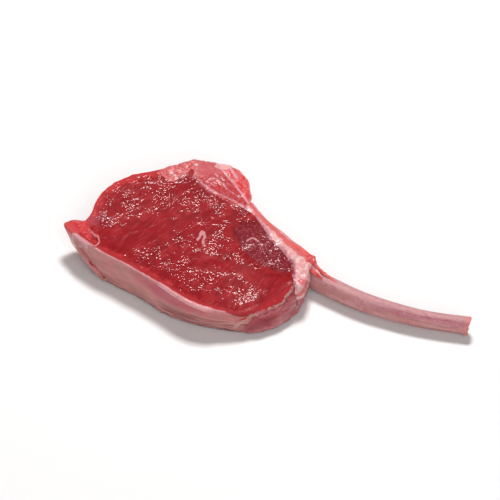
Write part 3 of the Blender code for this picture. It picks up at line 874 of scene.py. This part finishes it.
def add_node(tree, kind, inputs=None, out=0, **settings):
    """Add a shader node and return one of its outputs. An input takes a value or an output."""
    node = tree.nodes.new("ShaderNode" + kind)
    for name, value in settings.items():
        setattr(node, name, value)
    for key, value in (inputs or {}).items():
        if isinstance(value, bpy.types.NodeSocket):
            tree.links.new(value, node.inputs[key])
        else:
            node.inputs[key].default_value = value
    return node.outputs[out]


# %% [markdown]
# A layer shows where its noise, plus the mask if it has one, climbs from low to high, up
# to its amount. A ragged mask has more noise in it. A net keeps a layer to the threads
# between cells, as marbling runs between bundles of fibre.

# %% Where a layer shows and how bumps add up
EVEN = (1.0, 1.0, 1.0)
LAYER_FIELDS = "colour mask size stretch ragged low high amount net"
LAYER_DEFAULTS = (None, 3.0, EVEN, 0.8, 0.40, 0.60, 1.0, None)
Layer = namedtuple("Layer", LAYER_FIELDS, defaults=LAYER_DEFAULTS)
Bump = namedtuple("Bump", "size depth stretch mask", defaults=(EVEN, None))


def layer_share(tree, grain, layer):
    """Return an output that says how much of a layer shows."""
    scale = [1.0 / (layer.size * s) for s in layer.stretch]
    spot = add_node(tree, "VectorMath", {0: grain, 1: scale}, operation="MULTIPLY")
    value = add_node(tree, "TexNoise", {"Vector": spot, "Scale": 1.0, "Detail": 3.0})
    if layer.mask:
        mask = add_node(tree, "Attribute", out="Fac", attribute_name=layer.mask)
        centred = {0: value, 1: layer.ragged, 2: -0.5 * layer.ragged}
        value = add_node(tree, "Math", centred, operation="MULTIPLY_ADD")
        value = add_node(tree, "Math", {0: mask, 1: value}, operation="ADD")
    climb = {"Value": value, "From Min": layer.low, "From Max": layer.high, "To Max": layer.amount}
    shown = add_node(tree, "MapRange", climb, interpolation_type="SMOOTHSTEP")
    if layer.net:
        drift = add_node(tree, "TexNoise", {"Vector": spot, "Scale": 1.7}, out="Color")
        bent = {0: drift, 1: (0.8, 0.8, 0.8), 2: spot}
        bent = add_node(tree, "VectorMath", bent, operation="MULTIPLY_ADD")
        cells = {"Vector": bent, "Scale": 1.0}
        cells = add_node(tree, "TexVoronoi", cells, feature="DISTANCE_TO_EDGE")
        thin = {"Value": cells, "From Min": layer.net, "From Max": 0.2 * layer.net}
        threads = add_node(tree, "MapRange", thin, interpolation_type="SMOOTHSTEP")
        shown = add_node(tree, "Math", {0: shown, 1: threads}, operation="MULTIPLY")
    return shown


def bump_height(tree, grain, bumps):
    """Return an output that adds up fine bumps, each of a size and a depth in mm."""
    height = 0.0
    for bump in bumps:
        scale = [1.0 / (bump.size * s) for s in bump.stretch]
        spot = add_node(tree, "VectorMath", {0: grain, 1: scale}, operation="MULTIPLY")
        value = add_node(tree, "TexNoise", {"Vector": spot, "Scale": 1.0, "Detail": 1.0})
        if bump.mask:
            mask = add_node(tree, "Attribute", out="Fac", attribute_name=bump.mask)
            value = add_node(tree, "Math", {0: value, 1: -0.5}, operation="ADD")
            value = add_node(tree, "Math", {0: value, 1: mask}, operation="MULTIPLY")
        added = {0: value, 1: bump.depth, 2: height}
        height = add_node(tree, "Math", added, operation="MULTIPLY_ADD")
    return height


# %% The recipe for a wet tissue
def tissue(name, ground, layers, bumps, roughness, scatter, coat, coat_roughness, dry=None):
    """Make a wet tissue's material. Dry names the mask where its film of water is thin."""
    material = bpy.data.materials.new(name)
    material.use_nodes = True
    tree = material.node_tree
    shader = tree.nodes["Principled BSDF"]
    constants = {
        "Roughness": roughness,
        "IOR": 1.38,
        "Specular IOR Level": 0.1,
        "Subsurface Weight": scatter,
        "Subsurface Radius": (1.0, 0.35, 0.25),
        "Subsurface Scale": 1.5 * MM,
        "Coat Weight": coat,
        "Coat Roughness": coat_roughness,
        "Coat IOR": 1.45,
    }
    for socket, value in constants.items():
        shader.inputs[socket].default_value = value
    grain = add_node(tree, "Attribute", out="Vector", attribute_name="grain")
    colour = hex_colour(ground)
    for layer in layers:
        share_here = layer_share(tree, grain, layer)
        mixed = {0: share_here, 6: colour, 7: hex_colour(layer.colour)}
        colour = add_node(tree, "Mix", mixed, out=2, data_type="RGBA")
    tree.links.new(colour, shader.inputs["Base Color"])
    height = bump_height(tree, grain, bumps)
    tilted = add_node(tree, "Bump", {"Height": height, "Distance": MM})
    for socket in ("Normal", "Coat Normal"):
        tree.links.new(tilted, shader.inputs[socket])
    if dry:
        mask = add_node(tree, "Attribute", out="Fac", attribute_name=dry)
        film = {0: mask, 1: -0.9 * coat, 2: coat}
        film = add_node(tree, "Math", film, operation="MULTIPLY_ADD")
        tree.links.new(film, shader.inputs["Coat Weight"])
    return material


finishes = {}

# %% [markdown]
# Lean meat straight from the knife is a deep, slightly bluish red, brighter where air has
# reached it longest along the rim. Pale threads of connective tissue net over the bundles.
# The film of water lies over the bundles as small beads and ridges, about a millimetre
# across, which is what makes the face sparkle instead of shine.

# %% Lean meat
finishes["lean"] = tissue("cut lean lamb, wet", "#981a20", [
    Layer("#83131a", size=8.0, amount=0.6),
    Layer("#aa2a2e", size=4.5, low=0.48, high=0.66, amount=0.6),
    Layer("#bb4a4e", size=0.8, stretch=(7.0, 1.0, 1.0), low=0.54, high=0.72, amount=0.50),
    Layer("#cb3d3f", "near_rim", 3.0, ragged=1.3, low=0.35, high=1.0, amount=0.75),
    # Painted highlight: pale pink specks along the rim
    Layer("#dc7f80", "near_rim", 1.0, ragged=2.4, low=1.0, high=1.4, amount=0.6),
    Layer("#a9505f", "film", 2.2, ragged=2.0, low=0.50, high=1.2, amount=0.45),
    Layer("#75121b", "marbled", 3.0, ragged=1.3, low=0.25, high=0.9, amount=0.9),
    Layer("#b85f6a", "marbled", 1.1, ragged=2.4, low=0.6, high=1.3, amount=0.60, net=0.14),
    Layer("#c9807f", "thread", 1.4, ragged=2.6, low=0.60, high=1.2, amount=0.40),
    Layer("#b8606c", "seam", 2.2, ragged=1.8, low=0.45, high=0.95, amount=0.55),
    # Painted shade in the ditch beside the knuckle
    Layer("#6f1318", "knuckle_gap", 1.6, ragged=0.6, low=0.3, high=0.8, amount=0.85),
    Layer("#d99a9c", "fleck", 1.2, ragged=1.6, low=0.50, high=0.85, amount=0.8),
], [
    Bump(1.0, 0.46, mask="sparkle"),
    Bump(0.9, 0.04, (6.0, 1.0, 1.0)),
], roughness=0.42, scatter=0.20, coat=0.85, coat_roughness=0.07, dry="calm")

# %% [markdown]
# The outer side is fat under silverskin: rose where it is fresh, tan where it has dried,
# with painted shade in dark brown along the foot, and the red of the eye showing through
# below the rim on the right.

# %% Silverskin over the outer fat
ALONG = (14.0, 14.0, 1.0)
finishes["silverskin"] = tissue("silverskin over fat", "#c37b78", [
    Layer("#b07069", size=7.0, stretch=(1.0, 1.0, 0.5), amount=0.7),
    Layer("#d08f8b", size=3.0, stretch=(3.0, 3.0, 0.7), low=0.5, high=0.7, amount=0.6),
    Layer("#b94f5d", "purple", 5.0, ragged=0.6, low=0.1, high=0.8, amount=0.95),
    Layer("#c08884", "fibrous", 2.0, ALONG, ragged=0.9, amount=0.4),
    Layer("#8a4348", "fibrous", 0.9, ALONG, ragged=2.2, low=0.85, high=1.15, amount=0.8),
    # Painted shade along the foot of the wall
    Layer("#7b4140", "foot", 2.5, ragged=1.0, low=0.45, high=0.95, amount=0.75),
    Layer("#a0706a", "fold", 3.0, ragged=1.6, low=0.35, high=1.2, amount=0.6),
    Layer("#b34b57", "crease", 1.5, ragged=1.4, low=0.40, high=1.0, amount=0.85),
    Layer("#cc8e90", "rim_line", 2.5, ragged=0.8, low=0.2, high=0.9, amount=0.7),
    Layer("#cb8d90", "face", 2.5, ragged=0.4, low=0.3, high=0.8, amount=0.8),
    Layer("#b02c31", "within", 1.8, ragged=0.7, low=0.35, high=0.65),
    Layer("#a3282d", "below_rim", 2.0, ragged=0.6, low=0.35, high=0.65, amount=0.95),
    Layer("#c28f86", "membrane", 1.5, ragged=1.0, amount=0.9),
    Layer("#dfa5aa", "flap_rim", 2.0, ragged=0.8, low=0.3, high=0.9, amount=0.85),
    Layer("#d0494a", "tip_top", 1.4, ragged=1.0, low=0.35, high=0.75, amount=0.95),
    Layer("#e3a3a6", "lip", 2.0, ragged=0.4, low=0.25, high=0.7, amount=0.9),
], [
    Bump(1.2, 0.16, (4.0, 4.0, 1.0)),
    Bump(0.8, 0.07),
], roughness=0.36, scatter=0.22, coat=0.7, coat_roughness=0.16, dry="rolled")

# %% Cap muscle under its membrane
finishes["cap"] = tissue("cap muscle under membrane", "#ab5057", [
    Layer("#bb6c72", size=3.0, stretch=(3.0, 3.0, 1.0), amount=0.6),
    Layer("#c98488", size=1.1, stretch=(2.5, 2.5, 1.0), low=0.52, high=0.68, amount=0.6),
    Layer("#8e2f3a", "dark_patch", 2.5, ragged=0.9, low=0.2, high=0.9, amount=0.9),
    # Painted shade in the ditch beside the knuckle
    Layer("#6f1318", "knuckle_gap", 1.6, ragged=0.6, low=0.3, high=0.8, amount=0.85),
    Layer("#b0292f", "over_membrane", 1.8, ragged=0.5, low=0.3, high=0.7, amount=0.97),
    Layer("#cd9891", "membrane", 2.0, ragged=1.0, low=0.30, high=0.65, amount=0.9),
    # Painted shade below the membrane's ridge
    Layer("#7b2630", "under_membrane", 2.5, ragged=1.8, low=0.5, high=1.1, amount=0.7),
    # Painted shade along the foot of the cap
    Layer("#7b3b40", "foot", 2.5, ragged=1.0, low=0.45, high=0.95, amount=0.7),
], [
    Bump(1.0, 0.24, (2.5, 2.5, 1.0)),
], roughness=0.34, scatter=0.20, coat=0.8, coat_roughness=0.14, dry="rolled")

# %% [markdown]
# Lamb fat is white with a warm pink cast from the blood in it, waxy, and never even. Its
# surface is greasy rather than wet, so it has broad, dull lights and no sharp sparks. The
# strip at the top was scraped over, and scraps of lean are left on it.

# %% Fat
finishes["fat"] = tissue("soft white fat", "#e3a5a5", [
    Layer("#efc6c2", size=2.6, low=0.45, high=0.65, amount=0.8),
    Layer("#dc9194", size=1.6, low=0.52, high=0.70, amount=0.7),
    Layer("#bf7d8b", "eye_side", 2.2, ragged=1.6, low=0.35, high=0.90, amount=0.75),
    Layer("#a8404a", "eye_side", 2.6, ragged=2.4, low=0.95, high=1.25, amount=0.9),
    Layer("#d96d6d", "red", 1.6, ragged=1.2, low=0.35, high=0.90, amount=0.9),
    Layer("#d96763", "strip_side", 1.8, ragged=0.9, low=0.30, high=0.60, amount=0.95),
    # Painted shade low on the fat, in the colour of the cap muscle
    Layer("#a24650", "low", 2.5, ragged=0.8, low=0.40, high=0.75, amount=0.85),
], [
    Bump(1.3, 0.16),
], roughness=0.40, scatter=0.25, coat=0.5, coat_roughness=0.18)
finishes["top_fat"] = tissue("fat with scraps of lean", "#cd6264", [
    Layer("#df9090", size=0.9, low=0.45, high=0.60, amount=0.8),
    Layer("#c34a4f", size=1.6, low=0.52, high=0.66, amount=0.8),
    Layer("#9c1f25", "wedge", 1.6, ragged=1.0, low=0.35, high=0.65, amount=0.95),
    Layer("#ecc9ca", "pale", 1.3, ragged=1.8, low=0.35, high=0.80, amount=0.85),
    Layer("#902127", "back_wall", 4.0, ragged=1.6, low=0.25, high=0.75, amount=0.9),
], [
    Bump(0.9, 0.12),
], roughness=0.40, scatter=0.25, coat=0.25, coat_roughness=0.20)

# %% [markdown]
# The small muscles round the rib are paler and pinker than the eye, as more fat and
# connective tissue runs through them. They were trimmed and torn more than sliced, so
# they look soft and short in the grain. The strip along the rib is torn into long fibres.

# %% Small muscles
finishes["back"] = tissue("back muscle, finely marbled", "#b63a40", [
    Layer("#b92b31", size=5.0, low=0.36, high=0.56, amount=0.8),
    Layer("#cd7679", size=1.0, low=0.50, high=0.68, amount=0.40),
    Layer("#c97c83", size=1.8, low=0.38, high=0.62, amount=0.40, net=0.12),
    Layer("#cf7074", "back_top", 2.0, ragged=1.2, low=0.30, high=1.2, amount=0.8),
    Layer("#cc9299", "frame", 1.4, ragged=1.8, low=0.45, high=1.05, amount=0.75),
    Layer("#e0b2b2", "pale", 0.9, ragged=1.8, low=0.45, high=0.85, amount=0.8),
    Layer("#8f2028", "back_wall", 4.0, ragged=1.6, low=0.25, high=0.85, amount=0.85),
], [
    Bump(0.9, 0.12),
], roughness=0.40, scatter=0.22, coat=0.3, coat_roughness=0.14)
finishes["chine"] = tissue("trimmed meat at the backbone", "#dd6566", [
    Layer("#d3343a", size=4.5, low=0.42, high=0.60, amount=0.85),
    Layer("#e99594", size=2.6, low=0.55, high=0.68, amount=0.7),
    Layer("#d3a0a8", "frame", 1.6, ragged=0.8, low=0.35, high=0.65, amount=0.85),
    Layer("#efb4b2", "pale", 1.6, ragged=1.2, amount=0.85),
    Layer("#a5313a", "back_wall", 3.0, ragged=1.6, low=0.35, high=0.95, amount=0.75),
], [
    Bump(1.2, 0.12),
], roughness=0.36, scatter=0.24, coat=0.3, coat_roughness=0.14)
finishes["flap"] = tissue("thin tail of fresh meat", "#c23035", [
    Layer("#d6484b", size=3.0, amount=0.7),
    Layer("#e27374", size=0.9, low=0.52, high=0.66, amount=0.6),
    Layer("#d9a0a6", "flap_rim", 2.0, ragged=0.8, low=0.4, high=0.9, amount=0.85),
], [
    Bump(1.0, 0.20),
], roughness=0.32, scatter=0.22, coat=0.45, coat_roughness=0.14)
finishes["strip"] = tissue("strip of meat along the rib", "#dd5c5a", [
    Layer("#eb8885", size=1.4, stretch=(9.0, 1.0, 1.0), amount=0.7),
    Layer("#c4383c", size=1.2, stretch=(7.0, 1.0, 1.0), low=0.50, high=0.64, amount=0.8),
    Layer("#d398a4", "pale_line", 1.2, (7.0, 1.0, 1.0), ragged=0.6, amount=0.8),
], [
    Bump(0.9, 0.20, (6.0, 1.0, 1.0)),
], roughness=0.32, scatter=0.24, coat=0.4, coat_roughness=0.12)

# %% [markdown]
# Scraped bone keeps a film of periosteum: rose with violet where the film is thick, and
# faint lines along it from the knife. Its top is painted lighter as a painted highlight and
# its underside darker brown as painted shade. It is damp rather than wet.

# %% Bone
finishes["bone"] = tissue("scraped rib bone", "#bf8281", [
    Layer("#cd9899", size=2.4, stretch=(4.0, 1.0, 1.0), amount=0.6),
    Layer("#ab6d6e", size=1.6, stretch=(6.0, 1.0, 1.0), low=0.50, high=0.70, amount=0.5),
    # Painted highlight: the top of the rib lighter and violet-pink
    Layer("#ca979b", "above", 3.0, (5.0, 1.0, 1.0), ragged=0.6, low=0.60, high=0.95, amount=0.7),
    # Painted shade: the underside of the rib darker brown
    Layer("#966059", "above", 3.0, (5.0, 1.0, 1.0), ragged=0.4, low=0.44, high=0.18, amount=0.8),
    Layer("#b4697a", "groove", 1.6, (5.0, 1.0, 1.0), ragged=0.8, low=0.35, high=0.85, amount=0.6),
    Layer("#d3a09c", size=1.1, low=0.54, high=0.68, amount=0.45),
    Layer("#a8646b", size=1.3, stretch=(2.0, 1.0, 1.0), low=0.54, high=0.68, amount=0.45),
    Layer("#d9807c", "sawn", 1.8, ragged=1.5, low=0.10, high=1.1, amount=0.85),
    Layer("#e9a49d", "sawn_face", 2.4, ragged=0.8, amount=0.8),
    Layer("#b2524f", "sawn_face", 0.8, ragged=2.4, low=1.0, high=1.35, amount=0.8),
], [
    Bump(0.9, 0.12, (8.0, 1.0, 1.0)),
    Bump(1.0, 0.18),
], roughness=0.5, scatter=0.20, coat=0.12, coat_roughness=0.30)
print("finishes:", list(finishes))

# %% [markdown]
# ## Dressing the doubles
# Grain is what makes tissue read as tissue, so every double carries coordinates that run
# with its own fibres: along the rib for the bone and the strip, at a slant across the eye.

# %% Finish and slot of each double
DRESS = {
    "loin_eye": ("lean", "lean_meat"), "fat_cover": ("silverskin", "silverskin"),
    "cap_muscle": ("cap", "cap_meat"), "tip_flap": ("flap", "rib_side_meat"),
    "top_fat": ("top_fat", "white_fat"), "back_muscle": ("back", "rib_side_meat"),
    "chine_trim": ("chine", "rib_side_meat"), "rib_meat": ("strip", "rib_side_meat"),
    "seam_fat": ("fat", "white_fat"), "fat_knuckle": ("fat", "white_fat"),
    "rib_bone": ("bone", "scraped_bone"), "fat_strand": ("top_fat", "white_fat"),
    "meat_nub": ("chine", "rib_side_meat"), "torn_strand_red": ("strip", "rib_side_meat"),
    "torn_strand_long": ("strip", "rib_side_meat"), "torn_strand_pale": ("fat", "white_fat"),
}
ALONG_THE_RIB = ("strip", "bone")
FIBRE_TURN = math.radians(50.0)


def grain_coordinates(points, finish):
    """Return each point's place in axes that run with the tissue's own fibres, in mm."""
    if finish in ALONG_THE_RIB:
        return rib_place(points)
    if finish != "lean":
        return points
    x, y, z = points.T
    c, s = math.cos(FIBRE_TURN), math.sin(FIBRE_TURN)
    return np.column_stack([x * c + y * s, y * c - x * s, z])


# %% Dress each double
for name, (piece, points, normals) in doubles.items():
    finish, slot = DRESS[name]
    grain = grain_coordinates(points, finish)
    column = piece.data.attributes.new("grain", "FLOAT_VECTOR", "POINT")
    column.data.foreach_set("vector", grain.astype(np.float32).ravel())
    nodes = finishes[finish].node_tree.nodes
    wanted = {n.attribute_name for n in nodes if n.type == "ATTRIBUTE"} - {"grain"}
    masks = colour_masks(points, normals)
    for mask in sorted(wanted):
        column = piece.data.attributes.new(mask, "FLOAT", "POINT")
        column.data.foreach_set("value", masks[mask].astype(np.float32))
    piece.data.materials.clear()
    piece.data.materials.append(finishes[finish])
    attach(piece, BODY)
    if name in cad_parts:
        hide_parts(name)
triangles = {n: sum(len(p.vertices) - 2 for p in d[0].data.polygons) for n, d in doubles.items()}
print("triangles:", sum(triangles.values()), "most:", max(triangles.values()))

# %% [markdown]
# ## Light and floor
# A square softbox high behind the chop is seen only by facets that tilt the right way, so
# the wet face sparkles where it is rough and stays deep red where it is flat. A wide, weak
# light from the camera's side opens up the outer wall and softens the shadow.

# %% Lights, floor and surroundings
def soft_light(name, azimuth, elevation, distance, size, radiance):
    """Place a square light that faces the chop. Azimuth 0 is the front, 90 the right."""
    a, e = math.radians(azimuth), math.radians(elevation)
    way = Vector((math.sin(a) * math.cos(e), -math.cos(a) * math.cos(e), math.sin(e)))
    lamp = bpy.data.lights.new(name, "AREA")
    lamp.shape = "SQUARE"
    lamp.size = size
    lamp.energy = radiance * math.pi * size * size
    holder = bpy.data.objects.new(name, lamp)
    holder.location = AIM + way * distance
    holder.rotation_euler = (-way).to_track_quat("-Z", "Y").to_euler()
    scene.collection.objects.link(holder)


soft_light("softbox", azimuth=172.0, elevation=71.0, distance=1.1, size=0.24, radiance=57.0)
soft_light("wide fill", azimuth=6.0, elevation=40.0, distance=1.7, size=1.5, radiance=2.05)

bpy.ops.mesh.primitive_plane_add(size=6.0, location=(0.0, 0.0, -0.0002))
floor = bpy.context.object
floor.name = "floor"
paper = bpy.data.materials.new("white paper sweep")
paper.use_nodes = True
paper.node_tree.nodes["Principled BSDF"].inputs["Base Color"].default_value = hex_colour("#f6f5f4")
paper.node_tree.nodes["Principled BSDF"].inputs["Roughness"].default_value = 0.9
floor.data.materials.append(paper)

world = bpy.data.worlds.new("dim studio")
world.use_nodes = True
world.node_tree.nodes["Background"].inputs["Color"].default_value = (0.10, 0.10, 0.105, 1.0)
scene.world = world
scene.view_settings.view_transform = "Standard"
scene.view_settings.look = "None"
